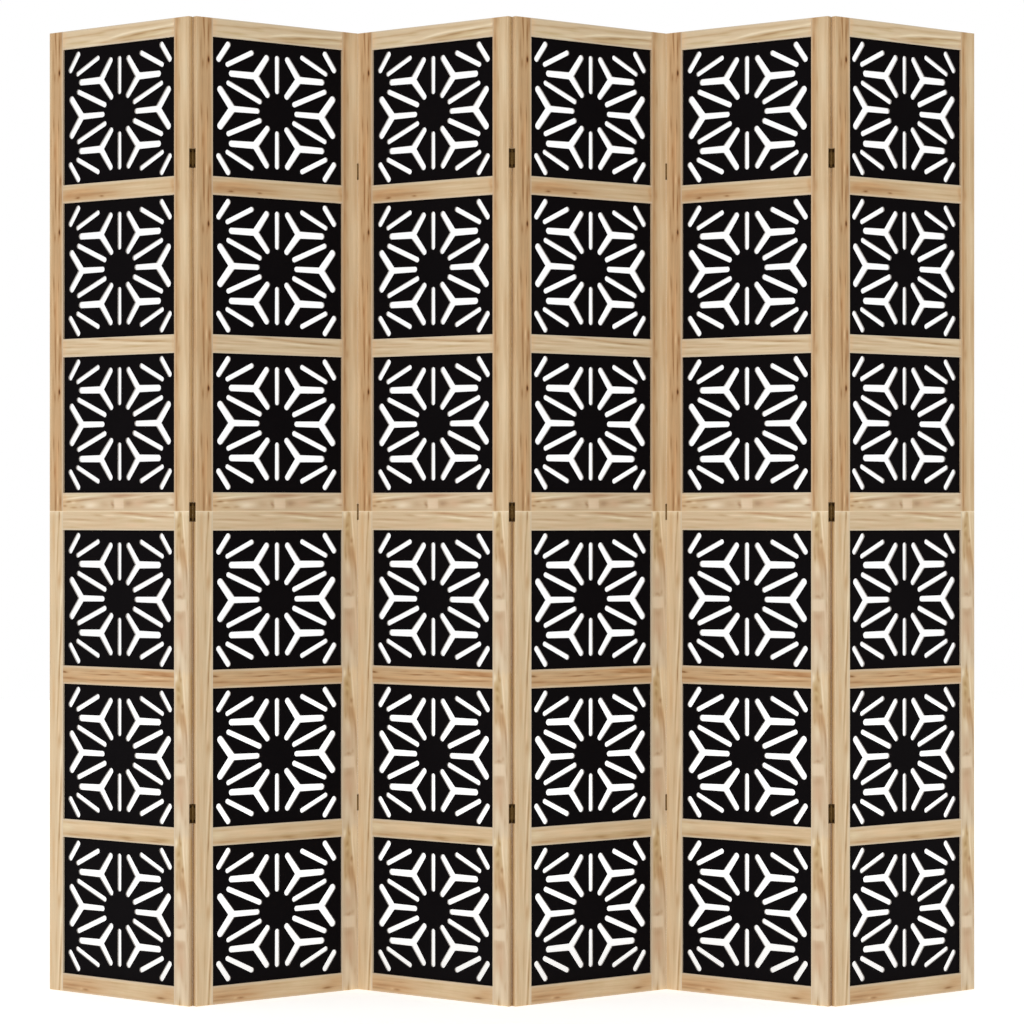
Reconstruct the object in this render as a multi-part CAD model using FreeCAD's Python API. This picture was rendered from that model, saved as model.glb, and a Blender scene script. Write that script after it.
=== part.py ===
import FreeCAD, Part
import math
import os

# Folding room divider: six hinged panels that stand in a zigzag.
# Every panel is an upper half and a lower half.  Each half is a solid wood frame
# (two stiles, four rails) that holds three pierced fretwork inserts in grooves.
# Units are millimetres, +Z is up, the front of the screen faces -Y.
# The origin is on the floor, in the middle of the standing screen's footprint.

# ---------------------------------------------------------------- driving sizes
PANELS = 6                 # number of panels
PANEL_W = 350.0            # width of one panel
HALF_H = 900.0             # height of one half; a panel is two halves high
THICK = 12.0               # thickness of stiles and rails
STILE_W = 35.0             # width of a stile
RAILS_LOWER = [(0.0, 33.8), (289.7, 323.4), (577.0, 611.0), (865.1, 900.0)]
RAILS_UPPER = [(900.0, 934.7), (1189.2, 1223.0), (1477.8, 1511.6), (1765.9, 1800.0)]
                           # bottom and top of each rail, counted up from the floor
EASE = 0.7                 # chamfer on the outside edges of a half
RIM_EASE = 0.2             # the arrises round each opening are only just broken

GROOVE_W = 4.1             # width of the groove that holds tongues and inserts
GROOVE_D = 8.0             # depth of that groove
TENON_L = 7.9              # length of the stub tongue on a rail end
INSERT_T = 4.0             # thickness of a fretwork insert
INSERT_IN = 7.0            # how far an insert reaches into the stiles' grooves
INSERT_H = 268.0           # height of an insert
INSERT_LOW = {0.0: (0.0, -0.7, -0.5), HALF_H: (0.1, -0.5, -0.8)}
                           # each insert's height against the middle of its opening

REST_DEG = 36.0            # how far each panel is turned from the screen's line
GAP = 0.1                  # gap between two panel edges when the fold is opened flat
PIN_OUT = 0.05             # hinge axis outside the face that carries it

HINGE_Z = {"back": (350.2, 898.9, 1542.3), "front": (352.1, 899.1, 1539.7)}
                           # centre heights of a fold's hinges, by the face they close on
HINGE_H = {"back": 35.0, "front": 30.4}        # heights of the two hinge sizes
LEAF_T = 0.8               # leaf thickness
LEAF_W = 9.6               # leaf width, from the pin-side face
PIN_R = 0.9                # hinge pin
PIN_RUN = 0.05             # running clearance in the middle knuckle
KNUCKLE_R = 1.7            # outside of the rolled knuckles
KNUCKLE_TAPER = 1.2        # the stack's two ends are turned down over this height
KNUCKLE_TIP_R = 1.3        # to this radius
KNUCKLE_GAP = 0.2          # gap between neighbouring knuckles
POCKET_R = 1.9             # round pocket in the wood for the knuckles
MORTISE_END = 0.05         # clearance above and below a leaf in its mortise
SCREW_END = 4.7            # screw axis, from the top or bottom end of its leaf
SCREW_IN = 5.7             # screw axis, from the pin-side face
HEAD_R = 2.3               # countersunk head
HEAD_H = 1.15
SHANK_R = 1.2
SCREW_L = 13.0             # overall length of a screw
HEAD_SINK = 0.05           # head sits this far below the leaf

DOWEL_R = 3.0              # locating dowels in the seam between the halves
DOWEL_L = 30.0
DOWEL_X = 20.0             # dowel axis from the panel's edge
DOWEL_END = 0.5            # free depth past each dowel end

# Pierced pattern of an insert, one quarter of it, measured from the opening's
# centre.  A slot arm is (x1, y1, r1, x2, y2, r2): a straight arm with round ends.
SLOT_UPRIGHT = [[(0.0, 39.0, 4.7, 0.0, 100.1, 5.0)]]
SLOT_RAY = [[(37.5, 17.6, 5.0, 104.3, 46.4, 4.8)]]
SLOT_SIDE_Y = [[(96.0, 0.0, 5.8, 42.3, 0.0, 5.0),
                (96.0, 0.0, 7.4, 121.6, 33.3, 6.7),
                (96.0, 0.0, 7.4, 121.6, -33.3, 6.7)]]
SLOT_CORNER_Y = [[(47.3, 64.0, 7.3, 21.0, 31.2, 5.7),
                  (47.3, 64.0, 7.0, 22.7, 99.0, 5.9),
                  (47.3, 64.0, 6.6, 98.0, 64.2, 5.8)]]
SLOT_LONG_BAR = [[(54.7, 105.9, 4.8, 106.4, 80.25, 4.6)]]
SLOT_SHORT_BAR = [[(105.1, 116.8, 5.6, 124.9, 88.8, 5.5)]]

# ---------------------------------------------------------------- derived sizes
V = FreeCAD.Vector
C = math.cos(math.radians(REST_DEG))
S = math.sin(math.radians(REST_DEG))
PITCH_X = (PANEL_W + GAP) * C + (THICK + 2 * PIN_OUT) * S
PITCH_Y = (PANEL_W + GAP) * S - (THICK + 2 * PIN_OUT) * C
OPEN_W = PANEL_W - 2 * STILE_W
RAIL_Z = {0.0: RAILS_LOWER, HALF_H: RAILS_UPPER}
RAILS = len(RAILS_LOWER)
GROOVE_Y0 = (THICK - GROOVE_W) / 2

print("opening width %.2f, fold pitch %.3f, fold depth %.3f, axis %.4f"
      % (OPEN_W, PITCH_X, PITCH_Y, PITCH_Y / 2))


def opening_z(z0, k):
    """bottom and top of opening k (0 at the bottom) of the half that starts at z0"""
    return RAIL_Z[z0][k][1], RAIL_Z[z0][k + 1][0]


def box(x0, y0, z0, x1, y1, z1):
    return Part.makeBox(x1 - x0, y1 - y0, z1 - z0, V(x0, y0, z0))


def cyl(r, h, at, axis=V(0, 0, 1)):
    return Part.makeCylinder(r, h, at, axis)


# ---------------------------------------------------------------- eased edges
def wedge(p, q, r, direction, length):
    """triangular bar: points p, q, r swept along direction"""
    wire = Part.makePolygon([p, q, r, p])
    return Part.Face(wire).extrude(direction * length)


def outer_ease(z0, crisp=()):
    """bars that take the edges off both faces of one half, all the way round
    crisp: the (side, face) corners that a pin line runs along, left sharp so the fold closes up"""
    w, h, t = PANEL_W, HALF_H, THICK
    tools = []
    for face, y, sy in (("front", 0.0, 1.0), ("back", t, -1.0)):
        for side, x, sx in (("left", 0.0, 1.0), ("right", w, -1.0)):
            e = EASE
            if (side, face) in crisp:
                continue
            tools.append(wedge(V(x - sx, y - sy, z0 - 5), V(x + sx * (e + 1), y - sy, z0 - 5),
                               V(x - sx, y + sy * (e + 1), z0 - 5), V(0, 0, 1), h + 10))
        e = EASE
        for z, sz in ((z0, 1.0), (z0 + h, -1.0)):
            tools.append(wedge(V(-5, y - sy, z - sz), V(-5, y - sy, z + sz * (e + 1)),
                               V(-5, y + sy * (e + 1), z - sz), V(1, 0, 0), w + 10))
    return tools


def opening_ease(z0):
    """shallow mitred frustums that ease the edges round the three openings"""
    tools = []
    x0, x1 = STILE_W, PANEL_W - STILE_W
    for k in range(RAILS - 1):
        za, zb = opening_z(z0, k)
        for y, sy in ((0.0, 1.0), (THICK, -1.0)):
            def ring(dy, grow):
                yy = y + sy * dy
                pts = [V(x0 - grow, yy, za - grow), V(x1 + grow, yy, za - grow),
                       V(x1 + grow, yy, zb + grow), V(x0 - grow, yy, zb + grow)]
                return Part.makePolygon(pts + [pts[0]])
            tools.append(Part.makeLoft([ring(-0.5, RIM_EASE + 0.5), ring(RIM_EASE, 0.0)], True, True))
    return tools


# ---------------------------------------------------------------- fretwork insert
def arm_face(a):
    """flat outline of one slot arm with round ends of two radii"""
    x1, y1, r1, x2, y2, r2 = a
    dx, dy = x2 - x1, y2 - y1
    d = math.hypot(dx, dy)
    base = math.atan2(dy, dx)
    spread = math.acos((r1 - r2) / d)

    def at(x, y, r, ang):
        return V(x + r * math.cos(ang), 0, y + r * math.sin(ang))
    p1 = at(x1, y1, r1, base + spread)
    p2 = at(x2, y2, r2, base + spread)
    p3 = at(x2, y2, r2, base - spread)
    p4 = at(x1, y1, r1, base - spread)
    end2 = at(x2, y2, r2, base)
    end1 = at(x1, y1, r1, base + math.pi)
    edges = [Part.LineSegment(p1, p2).toShape(), Part.Arc(p2, end2, p3).toShape(),
             Part.LineSegment(p3, p4).toShape(), Part.Arc(p4, end1, p1).toShape()]
    return Part.Face(Part.Wire(edges))


def flipped(arms, mx, my):
    return [(mx * a[0], my * a[1], a[2], mx * a[3], my * a[4], a[5]) for a in arms]


def slot_solid(arms):
    face = arm_face(arms[0])
    for a in arms[1:]:
        face = face.fuse(arm_face(a))
    face = face.removeSplitter()
    face.translate(V(0, -1, 0))
    return face.extrude(V(0, INSERT_T + 2, 0))


def make_insert():
    """one insert, centred on its opening in x and z, front face at y = 0"""
    hw = OPEN_W / 2 + INSERT_IN
    hh = INSERT_H / 2
    plate = box(-hw, 0, -hh, hw, INSERT_T, hh)
    tools = []
    for arms in SLOT_UPRIGHT:
        tools += [slot_solid(flipped(arms, 1, m)) for m in (1, -1)]
    for arms in SLOT_SIDE_Y:
        tools += [slot_solid(flipped(arms, m, 1)) for m in (1, -1)]
    for group in (SLOT_RAY, SLOT_CORNER_Y, SLOT_LONG_BAR, SLOT_SHORT_BAR):
        for arms in group:
            for mx in (1, -1):
                for my in (1, -1):
                    tools.append(slot_solid(flipped(arms, mx, my)))
    return plate.cut(tools)


# ---------------------------------------------------------------- hinges
# Hinge frame: the pin is the Z axis, +X runs into the stile that carries the leaf,
# +Y runs from the pin-side face into the thickness.  The leaf of the panel on the
# left of a fold holds the two outer knuckles, the other leaf the middle one.
# face: the face that the pin lies on, which also sets the hinge's size.
def knuckle_z(which, face):
    h = HINGE_H[face] / 2
    length = (2 * h - 2 * KNUCKLE_GAP) / 3
    if which == "outer":
        return [(-h, -h + length), (h - length, h)]
    return [(-length / 2, length / 2)]


def screw_z(face):
    z = HINGE_H[face] / 2 - SCREW_END
    return (-z, z)


def knuckle(z0, z1, h):
    """one rolled knuckle; an end that closes the stack, h from its middle, is turned down"""
    prof = [V(0, 0, z0)]
    if z0 <= -h + 0.01:
        prof += [V(KNUCKLE_TIP_R, 0, z0), V(KNUCKLE_R, 0, z0 + KNUCKLE_TAPER)]
    else:
        prof.append(V(KNUCKLE_R, 0, z0))
    if z1 >= h - 0.01:
        prof += [V(KNUCKLE_R, 0, z1 - KNUCKLE_TAPER), V(KNUCKLE_TIP_R, 0, z1)]
    else:
        prof.append(V(KNUCKLE_R, 0, z1))
    prof.append(V(0, 0, z1))
    return Part.Face(Part.makePolygon(prof + [prof[0]])).revolve(V(0, 0, 0), V(0, 0, 1), 360)


def make_leaf(which, face):
    h = HINGE_H[face] / 2
    plate = box(GAP / 2, 0, -h, GAP / 2 + LEAF_T, PIN_OUT + LEAF_W, h)
    other = "middle" if which == "outer" else "outer"
    away = []
    for z0, z1 in knuckle_z(other, face):
        away.append(cyl(KNUCKLE_R + 0.15, z1 - z0 + 2 * KNUCKLE_GAP, V(0, 0, z0 - KNUCKLE_GAP)))
    leaf = plate.cut(away)
    for z0, z1 in knuckle_z(which, face):
        leaf = leaf.fuse(knuckle(z0, z1, h))
    leaf = leaf.removeSplitter()
    bore = PIN_R if which == "outer" else PIN_R + PIN_RUN
    leaf = leaf.cut(cyl(bore, 2 * h + 2, V(0, 0, -h - 1)))
    for z in screw_z(face):
        leaf = leaf.cut(screw_outline(z))
    return leaf


def screw_outline(z):
    """head cone and shank, which the leaf and the stile are cut with"""
    x = GAP / 2
    y = PIN_OUT + SCREW_IN
    s = HEAD_SINK
    prof = [V(x - 0.2, y, z), V(x - 0.2, y + HEAD_R, z), V(x + s, y + HEAD_R, z),
            V(x + s + HEAD_H, y + SHANK_R, z), V(x + SCREW_L - 2.0, y + SHANK_R, z),
            V(x + SCREW_L, y, z)]
    return Part.Face(Part.makePolygon(prof + [prof[0]])).revolve(V(0, y, z), V(1, 0, 0), 360)


def make_screw(z, turn):
    """countersunk screw with a cross recess, lying along +X in the hinge frame"""
    x = GAP / 2 + HEAD_SINK
    y = PIN_OUT + SCREW_IN
    prof = [V(x, y, z), V(x, y + HEAD_R, z),
            V(x + HEAD_H, y + SHANK_R, z), V(x + SCREW_L - 2.0 - HEAD_SINK, y + SHANK_R, z),
            V(x + SCREW_L - HEAD_SINK, y, z)]
    body = Part.Face(Part.makePolygon(prof + [prof[0]])).revolve(V(0, y, z), V(1, 0, 0), 360)
    for k in (0, 90):
        bar = box(x - 0.1, y - 1.35, z - 0.28, x + 0.65, y + 1.35, z + 0.28)
        bar.rotate(V(0, y, z), V(1, 0, 0), turn + k)
        body = body.cut(bar)
    return body


def mortise(face):
    """what a hinge takes out of the stile, in the hinge frame"""
    h = HINGE_H[face] / 2 + MORTISE_END
    pocket = box(-1.0, -PIN_OUT - 1.0, -h, GAP / 2 + LEAF_T, PIN_OUT + LEAF_W, h)
    return [pocket, cyl(POCKET_R, 2 * h, V(0, 0, -h))] + [screw_outline(z) for z in screw_z(face)]


def make_pin(face):
    r, h = PIN_R, HINGE_H[face] / 2
    prof = [V(0, 0, -h), V(r - 0.25, 0, -h), V(r, 0, -h + 0.25), V(r, 0, h - 0.25), V(r - 0.25, 0, h), V(0, 0, h)]
    return Part.Face(Part.makePolygon(prof + [prof[0]])).revolve(V(0, 0, 0), V(0, 0, 1), 360)


def hinge_place(side, face, z):
    """placement of the hinge frame in panel coordinates
    side: left or right edge of the panel; face: front or back pin line"""
    px = -GAP / 2 if side == "left" else PANEL_W + GAP / 2
    py = -PIN_OUT if face == "front" else THICK + PIN_OUT
    sx = 1 if side == "left" else -1
    sy = 1 if face == "front" else -1
    return px, py, z, sx, sy


def put_hinge(shape, side, face, z):
    """move a shape from the hinge frame to panel coordinates, mirroring as needed"""
    px, py, pz, sx, sy = hinge_place(side, face, z)
    s = shape.copy()
    if sx < 0 and sy < 0:
        s.rotate(V(0, 0, 0), V(0, 0, 1), 180)
    elif sx < 0:
        s = s.mirror(V(0, 0, 0), V(1, 0, 0))
    elif sy < 0:
        s = s.mirror(V(0, 0, 0), V(0, 1, 0))
    s.translate(V(px, py, pz))
    return s


# ---------------------------------------------------------------- frame pieces
def make_stile(side, z0, hinge_face):
    if side == "left":
        s = box(0, 0, z0, STILE_W, THICK, z0 + HALF_H)
        groove = box(STILE_W - GROOVE_D, GROOVE_Y0, z0 - 1, STILE_W + 1, GROOVE_Y0 + GROOVE_W, z0 + HALF_H + 1)
    else:
        s = box(PANEL_W - STILE_W, 0, z0, PANEL_W, THICK, z0 + HALF_H)
        groove = box(PANEL_W - STILE_W - 1, GROOVE_Y0, z0 - 1,
                     PANEL_W - STILE_W + GROOVE_D, GROOVE_Y0 + GROOVE_W, z0 + HALF_H + 1)
    tools = [groove] + outer_ease(z0, [(side, hinge_face)]) + opening_ease(z0)
    dx = DOWEL_X if side == "left" else PANEL_W - DOWEL_X
    depth = DOWEL_L / 2 + DOWEL_END
    if z0 > 0:
        tools.append(cyl(DOWEL_R, depth + 1, V(dx, THICK / 2, z0 - 1)))
    else:
        tools.append(cyl(DOWEL_R, depth + 1, V(dx, THICK / 2, z0 + HALF_H - depth)))
    if hinge_face:
        for hz in HINGE_Z[hinge_face]:
            if z0 - 50 <= hz <= z0 + HALF_H + 50:
                tools += [put_hinge(m, side, hinge_face, hz) for m in mortise(hinge_face)]
    return s.cut(tools)


def make_rail(k, z0):
    za, zb = RAIL_Z[z0][k]
    x0, x1 = STILE_W, PANEL_W - STILE_W
    r = box(x0, 0, za, x1, THICK, zb)
    ta = za + (GROOVE_D if k > 0 else 0)
    tb = zb - (GROOVE_D if k < RAILS - 1 else 0)
    r = r.fuse([box(x0 - TENON_L, GROOVE_Y0, ta, x0, GROOVE_Y0 + GROOVE_W, tb),
                box(x1, GROOVE_Y0, ta, x1 + TENON_L, GROOVE_Y0 + GROOVE_W, tb)])
    tools = []
    if k > 0:
        tools.append(box(x0 - 1, GROOVE_Y0, za - 1, x1 + 1, GROOVE_Y0 + GROOVE_W, za + GROOVE_D))
    if k < RAILS - 1:
        tools.append(box(x0 - 1, GROOVE_Y0, zb - GROOVE_D, x1 + 1, GROOVE_Y0 + GROOVE_W, zb + 1))
    return r.cut(tools + outer_ease(z0) + opening_ease(z0))


# ---------------------------------------------------------------- panels in place
def panel_matrix(i):
    """panel i (0 to 5): panel coordinates to the standing screen"""
    left_x = (i - PANELS / 2) * PITCH_X
    if i % 2 == 0:          # from a far fold on the left to a near fold on the right
        u, nb = V(C, -S, 0), V(S, C, 0)
        origin = V(left_x, PITCH_Y / 2, 0) + u * (GAP / 2) + nb * PIN_OUT
    else:                   # from a near fold on the left to a far fold on the right
        u, nb = V(C, S, 0), V(-S, C, 0)
        origin = V(left_x, -PITCH_Y / 2, 0) + u * (GAP / 2) - nb * (THICK + PIN_OUT)
    return FreeCAD.Matrix(u.x, nb.x, 0, origin.x,
                          u.y, nb.y, 0, origin.y,
                          0, 0, 1, 0,
                          0, 0, 0, 1)


def write(name, solids, m):
    out = []
    for s in solids:
        placed = s.copy()
        placed.Placement = FreeCAD.Placement(m).multiply(placed.Placement)
        out += placed.Solids
    for s in out:
        if not s.isValid() or s.Volume <= 0:
            raise SystemExit("bad solid in " + name)
    shape = out[0] if len(out) == 1 else Part.makeCompound(out)
    shape.exportStep("parts/" + name + ".step")
    print("%-28s %2d solids %10.1f mm3" % (name, len(out), sum(s.Volume for s in out)))


os.makedirs("parts", exist_ok=True)

insert = make_insert()
print("insert volume %.1f, valid %s, faces %d" % (insert.Volume, insert.isValid(), len(insert.Faces)))
rails = {z0: [make_rail(k, z0) for k in range(RAILS)] for z0 in (0.0, HALF_H)}
leaves = {(w, f): make_leaf(w, f) for w in ("outer", "middle") for f in ("back", "front")}
pins_made = {f: make_pin(f) for f in ("back", "front")}
stile_made = {}


def stile(side, z0, hinge_face):
    key = (side, z0, hinge_face)
    if key not in stile_made:
        stile_made[key] = make_stile(side, z0, hinge_face)
    return stile_made[key]


for i in range(PANELS):
    n = i + 1
    m = panel_matrix(i)
    left_face = None if i == 0 else ("front" if i % 2 == 0 else "back")
    right_face = None if i == PANELS - 1 else ("back" if i % 2 == 0 else "front")

    for half, z0 in (("lower", 0.0), ("upper", HALF_H)):
        write("panel%d_%s_stiles" % (n, half),
              [stile("left", z0, left_face), stile("right", z0, right_face)], m)
        write("panel%d_%s_rails" % (n, half), rails[z0], m)
        inserts = []
        for k in range(RAILS - 1):
            s = insert.copy()
            s.translate(V(PANEL_W / 2, (THICK - INSERT_T) / 2, sum(opening_z(z0, k)) / 2 + INSERT_LOW[z0][k]))
            inserts.append(s)
        write("panel%d_%s_fretwork" % (n, half), inserts, m)

    write("panel%d_seam_dowels" % n,
          [cyl(DOWEL_R, DOWEL_L, V(x, THICK / 2, HALF_H - DOWEL_L / 2))
           for x in (DOWEL_X, PANEL_W - DOWEL_X)], m)

    leaf_list, screw_list = [], []
    for side, face, which in (("left", left_face, "middle"), ("right", right_face, "outer")):
        if face is None:
            continue
        for hz in HINGE_Z[face]:
            leaf_list.append(put_hinge(leaves[which, face], side, face, hz))
            for z in screw_z(face):
                turn = (hz * 0.37 + z * 2.3 + n * 17.0) % 90.0
                screw_list.append(put_hinge(make_screw(z, turn), side, face, hz))
    write("panel%d_hinge_leaves" % n, leaf_list, m)
    write("panel%d_hinge_screws" % n, screw_list, m)

    if right_face is not None:
        pins = [put_hinge(pins_made[right_face], "right", right_face, hz) for hz in HINGE_Z[right_face]]
        write("fold_%d_%d_hinge_pins" % (n, n + 1), pins, m)
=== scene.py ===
"""Looks, light and camera for the folding room divider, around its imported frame."""
import math

import bpy
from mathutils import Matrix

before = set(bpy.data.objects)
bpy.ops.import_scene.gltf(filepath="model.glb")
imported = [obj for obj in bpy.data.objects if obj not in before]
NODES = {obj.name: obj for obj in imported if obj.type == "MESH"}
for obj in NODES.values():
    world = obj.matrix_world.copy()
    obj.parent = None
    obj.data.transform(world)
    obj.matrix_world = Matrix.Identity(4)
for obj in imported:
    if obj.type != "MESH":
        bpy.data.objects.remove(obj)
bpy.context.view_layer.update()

# ---------------------------------------------------------------- sizes, in mm
PANELS = 6
PANEL_W = 350.0
THICK = 12.0
BOARD_T = 4.0
STILE_W = 35.0
HALF_H = 900.0
OPEN_W = PANEL_W - 2 * STILE_W
RAIL_Z = {"rail_1": (1765.9, 1800.0), "rail_2": (1477.8, 1511.6), "rail_3": (1189.2, 1223.0), "rail_4": (900.0, 934.7),
          "rail_5": (865.1, 900.0), "rail_6": (577.0, 611.0), "rail_7": (289.7, 323.4), "rail_8": (0.0, 33.8)}
HINGE_Z = (351.2, 899.0, 1541.0)
GAP = 0.1
PIN_OUT = 0.05
REST = math.radians(36.0)
C, S = math.cos(REST), math.sin(REST)
PITCH_X = (PANEL_W + GAP) * C + (THICK + 2 * PIN_OUT) * S
PITCH_Y = (PANEL_W + GAP) * S - (THICK + 2 * PIN_OUT) * C


def linear(r, g, b):
    """A display colour, 0 to 255, as the linear colour that the shaders use."""
    def one(v):
        v = v / 255.0
        return v / 12.92 if v <= 0.04045 else ((v + 0.055) / 1.055) ** 2.4
    return (one(r), one(g), one(b), 1.0)


# ------------------------------------------------------- materials as arithmetic
class Val:
    """A node's output, or a plain number, that can be added, multiplied and so on."""

    def __init__(self, tree, out):
        self.tree, self.out = tree, out

    def __add__(self, o):
        return self.tree.op("ADD", self, o)

    __radd__ = __add__

    def __sub__(self, o):
        return self.tree.op("SUBTRACT", self, o)

    def __rsub__(self, o):
        return self.tree.op("SUBTRACT", o, self)

    def __mul__(self, o):
        return self.tree.op("MULTIPLY", self, o)

    __rmul__ = __mul__

    def __truediv__(self, o):
        return self.tree.op("DIVIDE", self, o)


class Tree:
    """One material's node tree."""

    def __init__(self, name):
        self.mat = bpy.data.materials.new(name)
        self.mat.use_nodes = True
        self.nt = self.mat.node_tree
        self.nt.nodes.clear()
        self.output = self.nt.nodes.new("ShaderNodeOutputMaterial")
        self.shader = self.nt.nodes.new("ShaderNodeBsdfPrincipled")
        self.nt.links.new(self.shader.outputs["BSDF"], self.output.inputs["Surface"])
        self.coords = self.nt.nodes.new("ShaderNodeTexCoord").outputs["Object"]

    def put(self, socket, value):
        if isinstance(value, Val):
            self.nt.links.new(value.out, socket)
        elif hasattr(value, "is_output"):
            self.nt.links.new(value, socket)
        else:
            socket.default_value = value

    def op(self, operation, *args, clamp=False):
        n = self.nt.nodes.new("ShaderNodeMath")
        n.operation = operation
        n.use_clamp = clamp
        for i, a in enumerate(args):
            self.put(n.inputs[i], a)
        return Val(self, n.outputs[0])

    def madd(self, a, b, c):
        return self.op("MULTIPLY_ADD", a, b, c)

    def xyz(self, vector):
        n = self.nt.nodes.new("ShaderNodeSeparateXYZ")
        self.put(n.inputs[0], vector)
        return [Val(self, o) for o in n.outputs]

    def vec(self, x, y, z):
        n = self.nt.nodes.new("ShaderNodeCombineXYZ")
        for s, v in zip(n.inputs, (x, y, z)):
            self.put(s, v)
        return n.outputs[0]

    def noise(self, vector, detail=2.0, rough=0.5, distortion=0.0, colour=False):
        """Noise centred on 0, about -0.5 to 0.5; with colour, three of them."""
        n = self.nt.nodes.new("ShaderNodeTexNoise")
        n.noise_dimensions = "3D"
        n.inputs["Scale"].default_value = 1.0
        n.inputs["Detail"].default_value = detail
        n.inputs["Roughness"].default_value = rough
        n.inputs["Distortion"].default_value = distortion
        self.put(n.inputs["Vector"], vector)
        if colour:
            s = self.nt.nodes.new("ShaderNodeSeparateColor")
            self.put(s.inputs[0], n.outputs["Color"])
            return [Val(self, o) - 0.5 for o in s.outputs]
        return Val(self, n.outputs["Fac"]) - 0.5

    def cells(self, vector, feature="F1", randomness=1.0):
        n = self.nt.nodes.new("ShaderNodeTexVoronoi")
        n.feature = feature
        n.inputs["Scale"].default_value = 1.0
        n.inputs["Randomness"].default_value = randomness
        self.put(n.inputs["Vector"], vector)
        return Val(self, n.outputs["Distance"])

    def smooth(self, value, low, high, to_low=0.0, to_high=1.0):
        n = self.nt.nodes.new("ShaderNodeMapRange")
        n.interpolation_type = "SMOOTHSTEP"
        self.put(n.inputs["Value"], value)
        for key, v in (("From Min", low), ("From Max", high), ("To Min", to_low), ("To Max", to_high)):
            n.inputs[key].default_value = v
        return Val(self, n.outputs["Result"])

    def ramp(self, value, stops):
        n = self.nt.nodes.new("ShaderNodeValToRGB")
        self.put(n.inputs[0], value)
        e = n.color_ramp.elements
        while len(e) < len(stops):
            e.new(0.5)
        for i, (p, col) in enumerate(stops):
            e[i].position = p
            e[i].color = linear(*col)
        return n.outputs["Color"]

    def mix(self, factor, a, b, blend="MIX"):
        n = self.nt.nodes.new("ShaderNodeMix")
        n.data_type = "RGBA"
        n.blend_type = blend
        n.clamp_factor = True
        self.put(n.inputs[0], factor)
        self.put(n.inputs[6], a)
        self.put(n.inputs[7], b)
        return n.outputs[2]

    def bump(self, height, distance, strength=1.0, normal=None):
        n = self.nt.nodes.new("ShaderNodeBump")
        n.inputs["Strength"].default_value = strength
        n.inputs["Distance"].default_value = distance
        self.put(n.inputs["Height"], height)
        if normal is not None:
            self.put(n.inputs["Normal"], normal)
        return n.outputs["Normal"]

    def panel_coords(self):
        """Millimetres across the panel from its left edge, back from its front face, and up.

        The row stands still in the object coordinates at every pose, and no panel
        overlaps its neighbour from left to right, so x tells which panel this is.
        """
        x, y, z = self.xyz(self.coords)
        x, y, z = x * 1000.0, y * 1000.0, z * 1000.0
        k = self.op("FLOOR", self.madd(x, 1.0 / PITCH_X, PANELS / 2))
        turn = self.madd(self.op("MODULO", k, 2.0), 2.0, -1.0)      # -1 turned left, +1 turned right
        dx = self.madd(self.madd(k, 1.0, -PANELS / 2), -PITCH_X, x)
        dy = self.madd(turn, PITCH_Y / 2, y)
        across = self.madd(dx, C, self.madd(turn * dy, S, -GAP / 2))
        back = self.madd(turn * dx, -S, self.madd(dy, C, self.madd(turn, THICK / 2 + PIN_OUT, THICK / 2)))
        return across, back, z, k


# ------------------------------------------------------------------------- wood
# One scale of timber tones, from knot to sapwood, which every stick shares.
TIMBER = [(0.00, (88, 50, 6)), (0.15, (128, 83, 36)), (0.30, (167, 129, 87)), (0.45, (195, 161, 120)),
          (0.60, (211, 184, 146)), (0.75, (226, 205, 171)), (0.90, (238, 221, 190)), (1.00, (245, 231, 206))]
FIGURE = {"stile_left_upper": 1.8, "stile_left_lower": 2.0, "stile_right_upper": 1.7, "stile_right_lower": 1.9, "rail_1": 2.2, "rail_2": 1.8,
          "rail_3": 2.2, "rail_4": 2.5, "rail_5": 2.0, "rail_6": 1.6, "rail_7": 1.7, "rail_8": 1.7}      # strength of the streaks
SILVER = {"stile_right_lower": 0.28, "rail_4": 0.22, "rail_1": 0.06, "rail_3": 0.08, "rail_5": 0.10}      # how silvery the wood is
PINKISH = ("stile_right_lower", "rail_4", "rail_5")      # warmer here means rosier, not more orange
ROSY_FROM = {"stile_right_lower": (75.0, 130.0), "rail_4": (20.0, 70.0)}      # where along the stick the silver starts
# How much the painted highlight along the seam arris lightens the wood.
SEAM_HIGHLIGHT = 0.22
CORNER_SHADE = {"stile_left_upper": 0.20, "stile_right_upper": 0.19, "stile_left_lower": 0.43, "stile_right_lower": 0.30}      # how dark the painted shade in the hinge corners is
BROWN_EDGE = {"stile_right_upper": 0.0}      # how much paler the eased edge at the opening is, where it isn't 0.11
ORANGE = linear(255, 238, 222)
PINK = linear(255, 237, 229)
OLIVE = linear(247, 250, 228)
SANDED = linear(200, 185, 167)

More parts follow.
